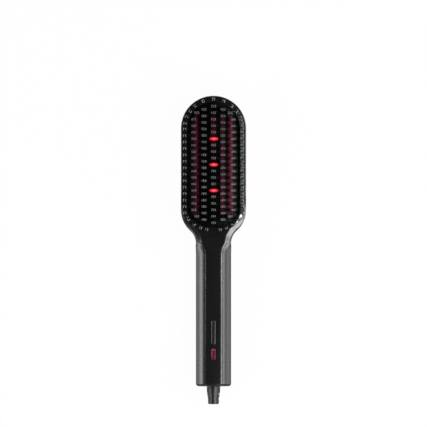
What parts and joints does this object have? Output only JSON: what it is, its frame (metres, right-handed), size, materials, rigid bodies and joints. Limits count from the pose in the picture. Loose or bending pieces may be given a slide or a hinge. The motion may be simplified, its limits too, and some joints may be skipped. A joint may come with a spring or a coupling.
{
  "type": "steam hair straightener brush",
  "caption": "Long heated paddle brush with capped comb teeth inside a guard ring, steam vents, two thumb buttons on a faceted handle and a swivelling cord sleeve.",
  "frame": {"origin": "middle of the flat back, on the surface that the brush lies on, halfway along its length", "axes": "+Y along the handle towards the head, +Z out of the back towards the teeth, +X to the right when the teeth face the viewer and the head is up"},
  "size_m": [0.0652, 0.3089, 0.0441],
  "materials": {
    "case_plastic": "high-gloss black moulding",
    "guard_plastic": "satin-gloss black heat-resistant moulding",
    "plate_coat": "dark ceramic coat on aluminium",
    "tooth_coat": "dark ceramic coat on aluminium",
    "tip_plastic": "heat-resistant black nylon with a slight sheen",
    "lamp_lens": "clear red lens lit from below",
    "led": "moulded LED body",
    "board": "green solder mask on glass-fibre board",
    "spacer_plastic": "natural nylon",
    "heater_ceramic": "fired heater ceramic in foil",
    "tab_metal": "tinned brass",
    "mica": "pressed mica sheet",
    "spring_steel": "bare spring steel",
    "screw_steel": "zinc-plated steel",
    "sensor_body": "amber bead",
    "fuse_metal": "plated metal can",
    "shield_metal": "rolled sheet",
    "chamber_metal": "die-cast",
    "silicone": "moulded silicone",
    "tank_plastic": "translucent blow-moulded polypropylene",
    "plug_rubber": "moulded black silicone",
    "pump_case": "off-white moulding",
    "relay_case": "blue relay housing",
    "capacitor_case": "dipped film capacitor",
    "chip": "moulded package",
    "fuse_glass": "glass tube",
    "frame_plastic": "dark grey moulding",
    "switch_case": "black tactile switch",
    "red_led": "red LED body",
    "button_plastic": "polished black moulding",
    "power_plastic": "translucent dark red moulding",
    "sleeve_rubber": "moulded black strain relief",
    "swivel_plastic": "glass-filled nylon",
    "ring_copper": "turned copper alloy",
    "block_plastic": "white heat-resistant moulding",
    "lead_jacket": "white silicone insulation",
    "lamp_lead_jacket": "red silicone insulation",
    "plug_trim": "soft black plug"
  },
  "bodies": {
    "body": {"front_shell": "case_plastic", "rear_shell": "case_plastic", "guard_frame": "guard_plastic", "heater_plate": "plate_coat", "heating_teeth": "tooth_coat", "tooth_tips": "tip_plastic", "lamp_lenses": "lamp_lens", "lamp_leds": "led", "lamp_board": "board", "lamp_board_spacers": "spacer_plastic", "heater_strips": "heater_ceramic", "heater_tabs": "tab_metal", "mica_sheets": "mica", "clamp_springs": "spring_steel", "plate_screws": "screw_steel", "thermistor": "sensor_body", "thermal_fuse": "fuse_metal", "heat_shield": "shield_metal", "steam_chamber": "chamber_metal", "steam_gasket": "silicone", "water_tank": "tank_plastic", "water_pump": "pump_case", "suction_hose": "silicone", "steam_hose": "silicone", "main_board": "board", "board_screws": "screw_steel", "relay": "relay_case", "capacitor": "capacitor_case", "control_chip": "chip", "line_fuse": "fuse_glass", "button_carrier": "frame_plastic", "button_board": "board", "key_switches": "switch_case", "power_light": "red_led", "rocker_pin": "screw_steel", "rocker_springs": "spring_steel", "power_springs": "spring_steel", "case_screws": "screw_steel", "screw_plugs": "plug_trim", "contact_block": "block_plastic", "contact_fingers": "tab_metal", "mains_leads": "lead_jacket", "heater_leads": "lead_jacket", "lamp_leads": "lamp_lead_jacket"},
    "rocker": {"rocker_button": "button_plastic"},
    "power": {"power_button": "power_plastic"},
    "swivel": {"swivel_collar": "swivel_plastic", "slip_rings": "ring_copper", "cord_sleeve": "sleeve_rubber"},
    "stopper": {"filler_plug": "plug_rubber"}
  },
  "joints": [
    {"name": "power_press", "type": "slide", "parent": "body", "child": "power", "axis": [0, 0, -1], "range_m": [0, 0.0006], "stiffness_N_per_m": 1500, "springref_m": -0.0005, "deforming": ["power_springs"]},
    {"name": "rocker_tilt", "type": "hinge", "parent": "body", "child": "rocker", "pos_m": [0, -0.0822, 0.0263], "axis": [1, 0, 0], "range_deg": [-2.2, 2.2], "stiffness_Nm_per_rad": 0.25, "deforming": ["rocker_springs"]},
    {"name": "cord_swivel", "type": "hinge", "parent": "body", "child": "swivel", "pos_m": [0, -0.1366, 0.015], "axis": [0, 1, 0], "continuous": true},
    {"name": "plug_pull", "type": "slide", "parent": "body", "child": "stopper", "axis": [0, 0, -1], "range_m": [0, 0.008]}
  ]
}
